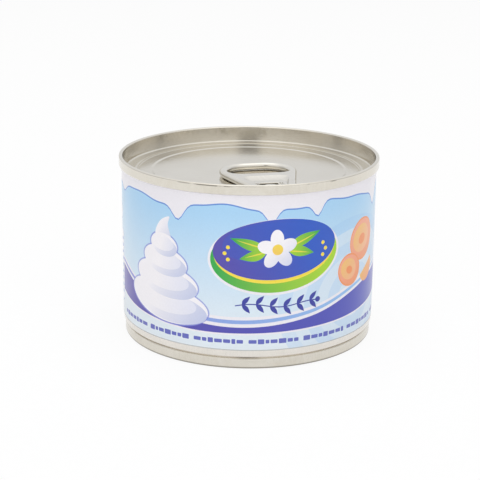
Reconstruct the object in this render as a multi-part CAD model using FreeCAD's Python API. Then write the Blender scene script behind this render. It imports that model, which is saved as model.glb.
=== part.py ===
"""Short ring-pull food can: printed tinplate body, easy-open top end with its pull tab, plain base end.

Millimetres. The can's axis is Z, its base stands on Z = 0, and -Y is the front of the print.
A profile is a run of corners (radius, height, rounding). A sheet of plate is such a run and the
same run moved sideways by the plate's thickness, so both faces of a bend keep one centre.
"""

import math
import os

import FreeCAD, Part

Vector = FreeCAD.Vector
UP = Vector(0, 0, 1)

# ---- driving dimensions ----
can_height = 52.1
body_inner_radius = 36.5          # the usual 73 mm body
body_plate = 0.17                 # tinplate of the body wall
end_plate = 0.18                  # tinplate of both ends
seam_thickness = 1.1              # a double seam: five layers of plate pressed flat
top_seam_length = 2.75
base_seam_length = 3.0
seam_crown = 0.4                  # rounding over the seam's lip
seam_edge = 0.3                   # rounding at the seam's free edge
body_tuck = 1.7                   # the body wall goes this far up inside a seam
stack_clearance = 0.2             # base seam to the inside of another can's rim
wall_lean = 0.3                   # a chuck wall leans in this much over its depth
wall_rounding = 0.36              # bottom of a countersink

neck_length = 2.4                 # the body narrows over this length above the base seam
neck_collar = 0.25                # straight stretch between the neck and the base seam
neck_rounding = 1.4
collar_rounding = 0.7

# top end: depths are below the rim
countersink_depth = 4.9
countersink_width = 0.95
shoulder_depth = 3.8              # flat ring outside the shelf
shoulder_width = 2.2
shelf_drop = 0.45
shelf_width = 4.1                 # the shelf carries the score
panel_drop = 0.45
step_run = 0.6                    # a step's width along the radius
step_rounding = 0.32
score_offset = 0.55               # score from the shelf's outer edge
score_width = 0.3
score_depth = 0.08

# base end: heights are above the standing edge
base_countersink = 3.9
base_shoulder = 2.9
base_shoulder_width = 3.2
base_step_rise = 0.4
base_ring_width = 5.0
base_ring_count = 2

# pull tab: lengths run from the rivet along the tab, widths across it
rivet_inset = 2.6                 # rivet's axis inside the foot of the shelf's inner step
rivet_azimuth = 14.4              # degrees from the front towards +X
tab_turn = 12.8                   # degrees: where the tab itself points
tab_thickness = 2.0               # over the rolled edge
tab_rounding = 0.85
tab_gap = 0.1                     # finger ring's underside above the main panel
tab_sheet = 0.4
tab_end = 24.9
tab_end_rounding = 8.4
tab_half_width = 11.0
tab_widest = 15.0
tab_nose = 7.0
nose_half_width = 4.95
nose_rounding = 3.4
nose_relief = 0.6                 # nose's underside is this much above the ring's
nose_relief_end = 3.4
curl_width = 2.1                  # rolled edge round the tab and its hole
hole_near = 12.2
hole_length = 10.5
hole_half_width = 8.65
hole_near_rounding = 3.6
hole_far_rounding = 6.4
web_rounding = 1.9
web_wall_run = 0.5                # the sunk web's walls lean out this much
ramp_top = 8.4                    # the web's wall towards the hole is a long ramp
ramp_foot = 5.7
island_half_width = 3.4           # tongue that the rivet holds
island_top = 2.75
island_rounding = 2.0
island_lift = 0.4                 # tongue's underside above the tab's underside
slot_width = 0.5
slot_foot = 2.7
bridge_reach = 0.35               # the tongue's root, either side of the slot's foot
rivet_stem = 1.45
rivet_clearance = 0.05
rivet_head = 2.3
rivet_head_height = 0.4
rivet_head_rounding = 0.28
rivet_boss = 2.2
rivet_boss_foot = 2.5

tolerance = 1e-6


# ---- sizes that follow ----
rim_inner_radius = body_inner_radius - end_plate
rim_radius = rim_inner_radius + seam_thickness
body_radius = body_inner_radius + body_plate
base_rim_radius = rim_inner_radius - stack_clearance
base_inner_radius = base_rim_radius - seam_thickness
collar_radius = base_inner_radius + end_plate + body_plate
shoulder_outer = rim_inner_radius - wall_lean - countersink_width
shoulder_inner = shoulder_outer - shoulder_width
shelf_outer = shoulder_inner - step_run
shelf_inner = shelf_outer - shelf_width
panel_radius = shelf_inner - step_run
rivet_from_axis = panel_radius - rivet_inset
panel_depth = shoulder_depth + shelf_drop + panel_drop
panel_height = can_height - panel_depth
tab_height = panel_height + tab_gap
island_base = island_lift
island_sheet_top = island_base + tab_sheet
web_base = (tab_thickness - tab_sheet) / 2
web_top = web_base + tab_sheet


# ---- runs of corners ----
def heading(a, b):
    length = math.hypot(b[0] - a[0], b[1] - a[1])
    return (b[0] - a[0]) / length, (b[1] - a[1]) / length


def moved_left(corners, distance):
    """An open run of corners moved to its left, each rounding kept about its own centre."""
    headings = [heading(a, b) for a, b in zip(corners, corners[1:])]
    shifts = [(-hy * distance, hx * distance) for hx, hy in headings]
    run = [(corners[0][0] + shifts[0][0], corners[0][1] + shifts[0][1], 0)]
    for i, (x, y, rounding) in enumerate(corners[1:-1], 1):
        (ax, ay), (bx, by) = headings[i - 1], headings[i]
        (sx, sy), (tx, ty) = shifts[i - 1], shifts[i]
        turn = ax * by - ay * bx
        along = ((tx - sx) * by - (ty - sy) * bx) / turn
        inner = rounding - math.copysign(distance, turn * distance)
        run.append((x + sx + ax * along, y + sy + ay * along, max(inner, 0)))
    run.append((corners[-1][0] + shifts[-1][0], corners[-1][1] + shifts[-1][1], 0))
    return run


def at_height(a, b, z):
    """The point of the straight from a to b that lies at height z, as a sharp corner."""
    share = (z - a[1]) / (b[1] - a[1])
    return a[0] + share * (b[0] - a[0]), z, 0


def rounded_wire(corners, place):
    """A closed wire through the corners, each rounded by its own tangent arc."""
    count = len(corners)
    stretches = []
    for i, (x, y, rounding) in enumerate(corners):
        ax, ay = heading(corners[i - 1], corners[i])
        bx, by = heading(corners[i], corners[(i + 1) % count])
        turn = ax * by - ay * bx
        half = math.atan2(turn, ax * bx + ay * by) / 2
        back = rounding * abs(math.tan(half))
        start = (x - ax * back, y - ay * back)
        end = (x + bx * back, y + by * back)
        side = math.copysign(rounding, turn)
        centre = (start[0] - ay * side, start[1] + ax * side)
        bulge = math.hypot(x - centre[0], y - centre[1]) or 1
        middle = (centre[0] + (x - centre[0]) * rounding / bulge,
                  centre[1] + (y - centre[1]) * rounding / bulge)
        stretches.append((start, middle, end, back))
    edges = []
    for i, (start, middle, end, back) in enumerate(stretches):
        if back > tolerance:
            edges.append(Part.Arc(place(*start), place(*middle), place(*end)).toShape())
        after = stretches[(i + 1) % count][0]
        if math.dist(end, after) > tolerance:
            edges.append(Part.LineSegment(place(*end), place(*after)).toShape())
    return Part.Wire(edges)


def turned(corners):
    """The solid that a closed profile makes when it turns about the can's axis."""
    profile = Part.Face(rounded_wire(corners, lambda r, z: Vector(r, 0, z)))
    return profile.revolve(Vector(0, 0, 0), UP, 360)


def cut_from_sheet(corners, base, top):
    """A flat outline made solid between two heights, in the tab's own plan (across, along)."""
    outline = Part.Face(rounded_wire(corners, lambda x, y: Vector(x, y, base)))
    return outline.extrude(UP * (top - base))


# ---- profiles of the two ends ----
def top_face():
    """What shows of the top end, from the rim's inner edge to the middle of the panel."""
    wall_foot = rim_inner_radius - wall_lean
    shoulder = can_height - shoulder_depth
    shelf = shoulder - shelf_drop
    score = shelf_outer - score_offset
    return [
        (rim_inner_radius, can_height, seam_crown),
        (wall_foot, can_height - countersink_depth, wall_rounding),
        (shoulder_outer, can_height - countersink_depth, wall_rounding),
        (shoulder_outer, shoulder, step_rounding),
        (shoulder_inner, shoulder, step_rounding),
        (shelf_outer, shelf, step_rounding),
        (score + score_width / 2, shelf, 0),
        (score, shelf - score_depth, 0),
        (score - score_width / 2, shelf, 0),
        (shelf_inner, shelf, step_rounding),
        (panel_radius, panel_height, step_rounding),
        (0, panel_height, 0),
    ]


def without_score(corners):
    """The same face with the score's groove left out, as the plate's other side has it."""
    return corners[:6] + corners[9:]


def base_face():
    """What shows of the base end, from the standing edge to the middle of the panel."""
    wall_foot = base_inner_radius - wall_lean
    outer = wall_foot - countersink_width
    face = [
        (base_inner_radius, 0, seam_crown),
        (wall_foot, base_countersink, wall_rounding),
        (outer, base_countersink, wall_rounding),
        (outer, base_shoulder, step_rounding),
    ]
    radius, height = outer - base_shoulder_width, base_shoulder
    for _ in range(base_ring_count):
        face.append((radius, height, step_rounding))
        face.append((radius - step_run, height - base_step_rise, step_rounding))
        radius, height = radius - step_run - base_ring_width, height - base_step_rise
    face.append((0, face[-1][1], 0))
    return face


def top_inside():
    """The product side of the top end, from the end of the body's tuck to the axis."""
    inside = moved_left(without_score(top_face()), end_plate)
    inside[0] = at_height(inside[0], inside[1], can_height - top_seam_length + body_tuck)
    return inside


def base_inside():
    """The product side of the base end, from the end of the body's tuck to the axis."""
    inside = moved_left(base_face(), -end_plate)
    inside[0] = at_height(inside[0], inside[1], base_seam_length - body_tuck)
    return inside


# ---- the pieces ----
def seam_outline(edge, crown, outer, wall):
    """The outer side of a double seam, from the body wall round its lip."""
    return [(wall, edge, 0), (outer, edge, seam_edge), (outer, crown, seam_crown)]


def top_end():
    edge = can_height - top_seam_length
    inside = top_inside()
    profile = seam_outline(edge, can_height, rim_radius, body_radius) + top_face()
    profile += inside[::-1] + [(body_radius, inside[0][1], 0)]
    return turned(profile).fuse(rivet()).Solids[0]


def base_end():
    inside = base_inside()
    profile = seam_outline(base_seam_length, 0, base_rim_radius, collar_radius) + base_face()
    profile += inside[::-1] + [(collar_radius, inside[0][1], 0)]
    return turned(profile)


def body():
    """The printed wall and what it holds, one solid up to the plate of both ends."""
    upper, lower = top_inside(), base_inside()
    neck_start = base_seam_length + neck_collar
    profile = [
        (collar_radius, lower[0][1], 0),
        (collar_radius, neck_start, collar_rounding),
        (body_radius, neck_start + neck_length, neck_rounding),
        (body_radius, upper[0][1], 0),
    ]
    return turned(profile + upper + lower[::-1])


def on_panel(shape):
    """Carries a piece from the tab's own plan to its place on the panel."""
    azimuth = math.radians(rivet_azimuth)
    shape.rotate(Vector(0, 0, 0), UP, tab_turn)
    shape.translate(Vector(rivet_from_axis * math.sin(azimuth), -rivet_from_axis * math.cos(azimuth), 0))
    return shape


def rivet():
    """Boss, stem and staked head, drawn up from the panel's own plate."""
    boss_base = panel_height - end_plate / 2
    boss_top = tab_height + island_base
    head_base = tab_height + island_sheet_top
    boss = Part.makeCone(rivet_boss_foot, rivet_boss, boss_top - boss_base, Vector(0, 0, boss_base))
    stem = Part.makeCylinder(rivet_stem, head_base - boss_base, Vector(0, 0, boss_base))
    head = Part.makeCylinder(rivet_head, rivet_head_height, Vector(0, 0, head_base))
    rim = [e for e in head.Edges if e.BoundBox.ZMin > head_base + rivet_head_height / 2 and e.Closed]
    head = head.makeFillet(rivet_head_rounding, rim)
    return on_panel(boss.fuse([stem, head]))


def tab_outline():
    return [
        (tab_half_width, tab_end, tab_end_rounding),
        (-tab_half_width, tab_end, tab_end_rounding),
        (-tab_half_width, tab_widest, tab_end_rounding),
        (-nose_half_width, -tab_nose, nose_rounding),
        (nose_half_width, -tab_nose, nose_rounding),
        (tab_half_width, tab_widest, tab_end_rounding),
    ]


def hole_outline():
    far = hole_near + hole_length
    return [
        (hole_half_width, far, hole_far_rounding),
        (-hole_half_width, far, hole_far_rounding),
        (-hole_half_width, hole_near, hole_near_rounding),
        (hole_half_width, hole_near, hole_near_rounding),
    ]


def half_width_at(along):
    """Half the tab's width on its tapering stretch, inside the rolled edge."""
    slope = (tab_half_width - nose_half_width) / (tab_widest + tab_nose)
    return nose_half_width + slope * (along + tab_nose) - curl_width * math.hypot(1, slope)


def web_outline(far, inset):
    """The sunk web inside the rolled edge, drawn in by an inset on its other three sides."""
    near = -tab_nose + curl_width + inset
    return [
        (half_width_at(far) - inset, far, web_rounding),
        (inset - half_width_at(far), far, web_rounding),
        (inset - half_width_at(near), near, web_rounding),
        (half_width_at(near) - inset, near, web_rounding),
    ]


def tongue_outline(grow):
    """The rivet's tongue, grown outwards by the slot's width for its cut."""
    half, top, rounding = island_half_width + grow, island_top + grow, island_rounding + grow
    return [(half, top, rounding), (-half, top, rounding), (-half, -slot_foot, 0), (half, -slot_foot, 0)]


def sunk_web():
    """What is pressed down above the web: three leaning walls and the ramp towards the hole."""
    stages = [(ramp_foot, web_wall_run, web_top), (ramp_top, 0, tab_thickness)]
    rims = [rounded_wire(web_outline(far, inset), lambda x, y, z=height: Vector(x, y, z))
            for far, inset, height in stages]
    return Part.makeLoft(rims, True, True)


def nose_underside():
    """The nose rides over the shelf, so its underside is cut back."""
    return cut_from_sheet(
        [(tab_half_width, nose_relief_end, 0), (-tab_half_width, nose_relief_end, 0),
         (-tab_half_width, -tab_nose, 0), (tab_half_width, -tab_nose, 0)], 0, nose_relief)


def edges_at(shape, height):
    """The edges that lie flat at one height."""
    return [e for e in shape.Edges if max(abs(point.z - height) for point in e.discretize(3)) < tolerance]


def pull_tab():
    """A ring and a tapering nose with rolled edges, a sunk web with its ramp, and a riveted tongue."""
    ring = cut_from_sheet(tab_outline(), 0, tab_thickness)
    ring = ring.cut(cut_from_sheet(hole_outline(), 0, tab_thickness))
    ring = ring.makeFillet(tab_rounding, edges_at(ring, 0) + edges_at(ring, tab_thickness))
    under = cut_from_sheet(web_outline(hole_near - curl_width, 0), 0, web_base)
    slot = cut_from_sheet(tongue_outline(slot_width), 0, tab_thickness)
    tab = ring.cut([sunk_web(), under, nose_underside(), slot])
    tongue = cut_from_sheet(tongue_outline(0), island_base, island_sheet_top)
    root, end = bridge_reach - slot_foot, -bridge_reach - slot_foot
    bridge = cut_from_sheet(
        [(island_half_width, root, 0), (-island_half_width, root, 0),
         (-island_half_width, end, 0), (island_half_width, end, 0)], island_base, web_top)
    hole = Part.makeCylinder(rivet_stem + rivet_clearance, tab_thickness)
    tab = tab.fuse([tongue, bridge]).cut(hole).removeSplitter()
    tab.translate(Vector(0, 0, tab_height))
    return on_panel(tab)


def main():
    os.makedirs("parts", exist_ok=True)
    pieces = {"can_body": body(), "top_end": top_end(), "base_end": base_end(), "pull_tab": pull_tab()}
    for name, shape in pieces.items():
        print(name, "solids", len(shape.Solids), "valid", shape.isValid(), "volume", round(shape.Volume, 1))
        shape.exportStep(f"parts/{name}.step")


main()
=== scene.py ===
import math
from functools import partial

import bpy
import numpy as np
from mathutils import Matrix, Vector
from mathutils.geometry import delaunay_2d_cdt


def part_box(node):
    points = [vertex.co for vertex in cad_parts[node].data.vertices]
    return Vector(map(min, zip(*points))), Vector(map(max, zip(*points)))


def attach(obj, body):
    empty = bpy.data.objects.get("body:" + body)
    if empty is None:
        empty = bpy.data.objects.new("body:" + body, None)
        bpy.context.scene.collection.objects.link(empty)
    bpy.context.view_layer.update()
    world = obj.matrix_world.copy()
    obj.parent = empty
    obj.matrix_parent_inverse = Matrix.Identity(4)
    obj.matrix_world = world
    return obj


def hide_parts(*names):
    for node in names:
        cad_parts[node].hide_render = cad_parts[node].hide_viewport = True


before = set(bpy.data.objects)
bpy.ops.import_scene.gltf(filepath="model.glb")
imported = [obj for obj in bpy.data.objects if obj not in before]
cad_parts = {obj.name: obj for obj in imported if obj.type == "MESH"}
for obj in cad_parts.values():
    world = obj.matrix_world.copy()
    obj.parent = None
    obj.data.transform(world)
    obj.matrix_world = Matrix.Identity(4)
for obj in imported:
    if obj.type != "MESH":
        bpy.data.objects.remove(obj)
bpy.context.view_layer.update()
mm = 0.001  # the shapes below are written in millimetres
print("frame loaded:", sorted(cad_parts))


def hexLinear(code):
    parts = [int(code[i:i + 2], 16) / 255 for i in (1, 3, 5)]
    return tuple(c / 12.92 if c <= 0.04045 else ((c + 0.055) / 1.055) ** 2.4 for c in parts) + (1.0,)


def addNode(tree, kind, inputs=None, stops=(), **settings):
    # an input is a value, a socket or a node, whose first output is meant; stops are a colour ramp's
    node = tree.nodes.new("ShaderNode" + kind)
    for k, (place, colour) in enumerate(stops):
        stop = node.color_ramp.elements[k] if k < 2 else node.color_ramp.elements.new(place)
        stop.position, stop.color = place, colour
    for key, value in settings.items():
        setattr(node, key, value)
    for socket, value in (inputs or {}).items():
        if isinstance(value, (bpy.types.Node, bpy.types.NodeSocket)):
            value = value.outputs[0] if isinstance(value, bpy.types.Node) else value
            tree.links.new(value, node.inputs[socket])
        else:
            node.inputs[socket].default_value = value
    return node


def newMaterial(name):
    material = bpy.data.materials.new(name)
    material.use_nodes = True
    material.node_tree.nodes.clear()
    return material, partial(addNode, material.node_tree)


# sizes, read from the CAD nodes
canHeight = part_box("top_end")[1].z / mm
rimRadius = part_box("top_end")[1].x / mm
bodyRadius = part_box("can_body")[1].x / mm
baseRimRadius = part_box("base_end")[1].x / mm
around = math.pi * bodyRadius  # half the way round
sharpestBend = 0.02


# profiles are corners (x, y, bend radius) that are bent and then turned on an upright axis
def unit(a, b):
    length = math.hypot(b[0] - a[0], b[1] - a[1])
    return (b[0] - a[0]) / length, (b[1] - a[1]) / length


def shiftRun(corners, distance):
    # the other face of the same plate: every stretch moved sideways, every bend kept about its own centre
    ways = [unit(a, b) for a, b in zip(corners, corners[1:])]
    sides = [(-wy * distance, wx * distance) for wx, wy in ways]
    run = [(corners[0][0] + sides[0][0], corners[0][1] + sides[0][1], 0)]
    for i, (x, y, bend) in enumerate(corners[1:-1], 1):
        (ax, ay), (bx, by) = ways[i - 1], ways[i]
        (sx, sy), (tx, ty) = sides[i - 1], sides[i]
        turn = ax * by - ay * bx
        along = ((tx - sx) * by - (ty - sy) * bx) / turn
        newBend = max(bend - math.copysign(distance, turn * distance), sharpestBend)
        run.append((x + sx + ax * along, y + sy + ay * along, newBend))
    run.append((corners[-1][0] + sides[-1][0], corners[-1][1] + sides[-1][1], 0))
    return run


def bendRun(corners, stepDegrees, closed=False):
    # corners become points (x, y, normal x, normal y); the normal is on the run's right-hand side
    points = []
    count = len(corners)
    for i, (x, y, bend) in enumerate(corners):
        if not closed and i in (0, count - 1):
            wx, wy = unit(corners[0], corners[1]) if i == 0 else unit(corners[-2], corners[-1])
            points.append((x, y, wy, -wx))
            continue
        ax, ay = unit(corners[i - 1], corners[i])
        bx, by = unit(corners[i], corners[(i + 1) % count])
        turn = math.atan2(ax * by - ay * bx, ax * bx + ay * by)
        back = bend * abs(math.tan(turn / 2))
        side = math.copysign(bend, turn)
        startX, startY = x - ax * back, y - ay * back
        centreX, centreY = startX - ay * side, startY + ax * side
        steps = max(2, math.ceil(abs(math.degrees(turn)) / stepDegrees))
        for k in range(steps + 1):
            c, s = math.cos(turn * k / steps), math.sin(turn * k / steps)
            wx, wy = ax * c - ay * s, ax * s + ay * c
            points.append((centreX + wy * side, centreY - wx * side, wy, -wx))
    return points


def fillLoop(points, spacing):
    # more points along the long stretches of a closed loop
    filled = []
    for p, q in zip(points, points[1:] + points[:1]):
        filled.append(p)
        parts = int(math.dist(p[:2], q[:2]) // spacing)
        for k in range(1, parts):
            share = k / parts
            filled.append(tuple(u + (v - u) * share for u, v in zip(p, q)))
    return filled


def makeObject(name, shape, *materials):
    vertices, faces, *normals = shape
    mesh = bpy.data.meshes.new(name)
    mesh.from_pydata(vertices, [], faces)
    mesh.validate()
    mesh.update()
    mesh.shade_smooth()
    if normals:
        mesh.normals_split_custom_set_from_vertices(normals[0])
    for material in materials:
        mesh.materials.append(material)
    piece = bpy.data.objects.new(name, mesh)
    bpy.context.collection.objects.link(piece)
    return piece


def turnRun(points, segments, centre=(0, 0), flip=1):
    # bent points turned on an upright axis; returns the vertices, faces and normals of one surface
    vertices, normals, rings = [], [], []
    for x, y, nx, ny in points:
        if x < 1e-6:
            rings.append([len(vertices)] * segments)
            vertices.append((centre[0] * mm, centre[1] * mm, y * mm))
            normals.append((0, 0, math.copysign(1, ny)))
            continue
        rings.append(list(range(len(vertices), len(vertices) + segments)))
        for k in range(segments):
            angle = 2 * math.pi * k / segments
            c, s = math.cos(angle), math.sin(angle)
            vertices.append(((centre[0] + x * c) * mm, (centre[1] + x * s) * mm, y * mm))
            normals.append((nx * c, nx * s, ny))
    faces = []
    for lower, upper in zip(rings, rings[1:]):
        for k in range(segments):
            n = (k + 1) % segments
            loop = [lower[k], upper[k], upper[n], lower[n]]
            loop = [v for i, v in enumerate(loop) if v != loop[i - 1]]
            if len(loop) > 2:
                faces.append(loop if flip > 0 else loop[::-1])
    return vertices, faces, normals


def joinParts(parts):
    vertices, faces, normals = [], [], []
    for v, f, n in parts:
        start = len(vertices)
        vertices += v
        faces += [[i + start for i in face] for face in f]
        normals += n
    return vertices, faces, normals


tinplateLook = {
    "steel": "#e1dcd1",          # tin over steel under a clear food lacquer: pale, a touch warm
    "steelDark": "#d9d3c6",
    "darkMarkAndShadow": "#6b665c",        # dark marks on the top seam, and the painted shadow round the base seam's foot
    "roughness": 0.16,
    "roughSpread": (0.8, 1.25),  # its smoothest and dullest places, as shares of the roughness
    "grainWidth": 0.25,          # mm, the rolling grain; the real one is finer and would not show
    "grainStretch": 0.03,        # how fast it changes along the grain, against across it
    "clouds": 0.11,              # per mm, thicker and thinner lacquer
    "hairlines": (0.12, 1.6, 0.3), "hairTurn": 0.7, "hairWidth": 0.02,
    "relief": 0.02, "reliefStrength": 0.05, "lacquer": {"Coat Weight": 0.35, "Coat Roughness": 0.18},
}
# dark marks in four stretches along the top seam's outer shoulder, at the front
seamDarkMarks = {
    "places": ((-31, -24, 0.6), (-23, -6.5, 1.0), (24, 26.6, 0.7), (35.5, 39, 1.0)),  # degrees, strength
    "height": canHeight - 0.42, "width": 0.22, "radius": rimRadius - 0.42, "broken": (0.34, 0.46),
    "fade": 0.004,               # at a mark's ends, as a share of the way round
    "specks": 0.45,              # per mm, what breaks the marks up
}
# painted shadow: a dark band all round the base seam's lowest edge, where the can stands on the table
footPaintedShadow = dict(seamDarkMarks, places=((-179, 179, 0.9),), height=0.24, width=0.42,
                radius=baseRimRadius - 0.7, broken=(0.1, 0.3))


def seamMarksAndShadow(add, place, darkBands):
    # dark bands on a seam's outer shoulder, marks on the top seam and painted shadow round the foot: where
    # they are round the can, how high, and broken up by noise
    parts = add("SeparateXYZ", {"Vector": place}).outputs
    back = add("Math", {0: parts["Y"], 1: -1.0}, operation="MULTIPLY")
    turn = add("Math", {0: parts["X"], 1: back}, operation="ARCTAN2")
    across = add("Math", {0: turn, 1: 0.5 / math.pi, 2: 0.5}, operation="MULTIPLY_ADD")
    edges = [(0.0, 0.0)]
    for start, end, depth in darkBands["places"]:
        first, last = 0.5 + start / 360, 0.5 + end / 360
        edges += [(first, 0.0), (first + darkBands["fade"], depth), (last - darkBands["fade"], depth), (last, 0.0)]
    mark = add("ValToRGB", {"Fac": across}, [(at, (v, v, v, 1)) for at, v in edges])
    flat = add("CombineXYZ", {"X": parts["X"], "Y": parts["Y"]})
    out = add("VectorMath", {0: flat}, operation="LENGTH").outputs["Value"]
    outside = add("Math", {0: out, 1: darkBands["radius"] * mm}, operation="GREATER_THAN")
    breakup = add("TexNoise", {"Vector": place, "Scale": darkBands["specks"] / mm, "Detail": 3.0})
    crest, reach = darkBands["height"] * mm, darkBands["width"] * mm
    ranges = ((parts["Z"], crest - reach, crest), (parts["Z"], crest + reach, crest), (breakup, *darkBands["broken"]))
    rise, fall, broken = (
        add("MapRange", {"Value": value, "From Min": low, "From Max": high})
        for value, low, high in ranges)
    for share in (rise, fall, outside, broken):
        mark = add("Math", {0: mark, 1: share}, operation="MULTIPLY")
    return mark


def lacqueredTinplate(name, look, turnGrain=0.0, darkBands=None):
    # tinplate, cold rolled, lacquered and then stamped: a soft mirror with a faint straight grain and scuffs
    material, add = newMaterial(name)
    place = add("TexCoord").outputs["Object"]
    turned = add("Mapping", {"Vector": place, "Rotation": (0, 0, turnGrain)})
    across = 1 / mm / look["grainWidth"]
    long = add("Mapping", {"Vector": turned, "Scale": (look["grainStretch"] * across, across, 0.5 / mm)})
    grain = add("TexNoise", {"Vector": long, "Scale": 1.0, "Detail": 3.0, "Roughness": 0.6})
    cloud = add("TexNoise", {"Vector": place, "Scale": look["clouds"] / mm, "Detail": 3.0})
    tone = add("Math", {0: grain, 1: cloud}, operation="ADD")
    half = add("Math", {0: tone, 1: 0.5}, operation="MULTIPLY")
    colour = add("ValToRGB", {"Fac": half}, [
        (0.35, hexLinear(look["steelDark"])), (0.6, hexLinear(look["steel"]))])
    smooth, dull = (look["roughness"] * share for share in look["roughSpread"])
    rough = add("MapRange", {
        "Value": tone, "From Min": 0.7, "From Max": 1.3, "To Min": smooth, "To Max": dull})
    # dark bands mixed into the colour: marks on the top seam, and a painted shadow round the base seam's foot
    if darkBands:
        mark = seamMarksAndShadow(add, place, darkBands)
        colour = add("Mix", {
            "Factor": mark, "A": colour, "B": hexLinear(look["darkMarkAndShadow"])}, data_type="RGBA").outputs["Result"]
    # a few short hairline scuffs, from a stretched cell pattern
    hair = add("Mapping", {"Vector": turned, "Rotation": (0.0, 0.0, look["hairTurn"]),
        "Scale": tuple(count / mm for count in look["hairlines"])})
    cell = add("TexVoronoi", {"Vector": hair, "Scale": 1.0}, feature="DISTANCE_TO_EDGE")
    scuff = add("MapRange", {"Value": cell, "From Min": 0.0, "From Max": look["hairWidth"]})
    height = add("Math", {0: grain, 1: scuff}, operation="ADD")
    bump = add("Bump", {
        "Height": height, "Strength": look["reliefStrength"], "Distance": look["relief"] * mm})
    shader = add("BsdfPrincipled", {
        "Base Color": colour, "Metallic": 1.0, "Roughness": rough, "Normal": bump, **look["lacquer"]})
    add("OutputMaterial", {"Surface": shader})
    return material


bodyLook = dict(tinplateLook, steel="#ebe6de", steelDark="#e4dfd6")
tabLook = dict(tinplateLook, steel="#e3dfd6", steelDark="#dbd6cb", roughness=0.14)
endTinplate = lacqueredTinplate("lacqueredTinplateStamped", tinplateLook, darkBands=seamDarkMarks)
# the base's dark band is a painted contact shadow round the foot
baseTinplate = lacqueredTinplate("lacqueredTinplateStampedBase", tinplateLook, darkBands=footPaintedShadow)
bodyTinplate = lacqueredTinplate("lacqueredTinplateRolledBody", bodyLook, 1.57)
tabTinplate = lacqueredTinplate("tinplateTabCurled", tabLook, 0.9)
print("tinplate materials made")

topEndShape = {
    "plate": 0.18, "seam": 1.1, "seamLength": 2.75, "crown": 0.4, "edge": 0.3,
    "hookIn": 0.3, "hookUp": 1.2, "overlap": 0.05, "segments": 360,
    "lean": 0.3, "countersinkDepth": 4.8, "countersinkWidth": 0.95,
    "wallBend": 0.64, "innerBend": 0.18, "edgeBend": 0.18,
    "shoulderDepth": 4.4, "shoulderWidth": 2.2, "shelfDrop": 0.15, "shelfWidth": 4.1, "panelDrop": 0.15,
    "stepRun": 0.6, "stepBend": 1.4,
    "scoreOffset": 0.55, "scoreWidth": 0.3, "scoreDepth": 0.08, "scoreEdge": 0.08, "scoreFoot": 0.05,
}
rivetShape = {
    "inset": 2.6, "azimuth": 14.4, "boss": 2.2, "foot": 2.75, "footBend": 0.25, "stem": 1.45,
    "head": 2.3, "headHeight": 0.4, "headBend": 0.28,
    "dimple": 1.2, "dimpleFoot": 0.95, "dimpleDepth": 0.2, "segments": 72,
}
tabShape = {
    "turn": 12.8, "thickness": 2.0, "gap": 0.1, "sheet": 0.4, "end": 24.9, "endBend": 8.4, "halfWidth": 11.0,
    "widest": 15.0, "nose": 7.0, "noseHalf": 4.95, "noseBend": 3.4, "noseRelief": 0.6, "reliefEnd": 3.4,
    "curl": 2.1, "groove": 1.25, "grooveDepth": 0.16, "grooveWidth": 0.22,
    "holeNear": 12.2, "holeLength": 10.5, "holeHalf": 8.65, "holeNearBend": 3.6, "holeFarBend": 6.4,
    "webBend": 1.9, "wallRun": 0.5, "rampTop": 8.4, "rampFoot": 5.7, "rampHollow": 1.5,
    "tongueHalf": 3.6, "tongueTop": 2.95, "tongueBend": 2.0, "tongueLift": 0.4,
    "slot": 0.5, "slotFoot": 2.7, "slotEnd": 0.2, "cutEdge": 0.12,
    "spacing": 0.28, "step": 0.24,  # between points: along the edges, and over the faces
}
te = topEndShape
rimInner = rimRadius - te["seam"]
shoulderOuter = rimInner - te["lean"] - te["countersinkWidth"]
shoulderInner = shoulderOuter - te["shoulderWidth"]
shelfOuter = shoulderInner - te["stepRun"]
shelfInner = shelfOuter - te["shelfWidth"]
panelRadius = shelfInner - te["stepRun"]
panelHeight = canHeight - te["shoulderDepth"] - te["shelfDrop"] - te["panelDrop"]
rivetOut = panelRadius - rivetShape["inset"]
rivetAngle = math.radians(rivetShape["azimuth"])
rivetAt = (rivetOut * math.sin(rivetAngle), -rivetOut * math.cos(rivetAngle))


def topFaceRun():
    # the upper side, from the rim's inner edge to the middle of the panel
    foot = canHeight - te["countersinkDepth"]
    shoulder = canHeight - te["shoulderDepth"]
    shelf = shoulder - te["shelfDrop"]
    score = shelfOuter - te["scoreOffset"]
    half = te["scoreWidth"] / 2
    return [
        (rimInner, canHeight, te["crown"]),
        (rimInner - te["lean"], foot, te["wallBend"]),
        (shoulderOuter, foot, te["innerBend"]),
        (shoulderOuter, shoulder, te["edgeBend"]),
        (shoulderInner, shoulder, te["stepBend"]),
        (shelfOuter, shelf, te["stepBend"]),
        (score + half, shelf, te["scoreEdge"]),
        (score, shelf - te["scoreDepth"], te["scoreFoot"]),
        (score - half, shelf, te["scoreEdge"]),
        (shelfInner, shelf, te["stepBend"]),
        (panelRadius, panelHeight, te["stepBend"]),
        (0, panelHeight, 0),
    ]


def topEndParts():
    face = topFaceRun()
    under = shiftRun(face[:6] + face[9:], te["plate"])[::-1]    # the score is cut in the upper side only
    lip = canHeight - te["seamLength"]
    under[-1] = (bodyRadius - te["hookIn"], lip + te["hookUp"], 0)
    hem = (bodyRadius - te["overlap"], lip, 0)
    outside = [hem, (rimRadius, lip, te["edge"]), (rimRadius, canHeight, te["crown"])]
    shown, hidden = bendRun(outside + face, 9), bendRun(under + [hem], 30)
    return [turnRun(shown, te["segments"], flip=-1), turnRun(hidden, te["segments"], flip=-1)]


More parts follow.
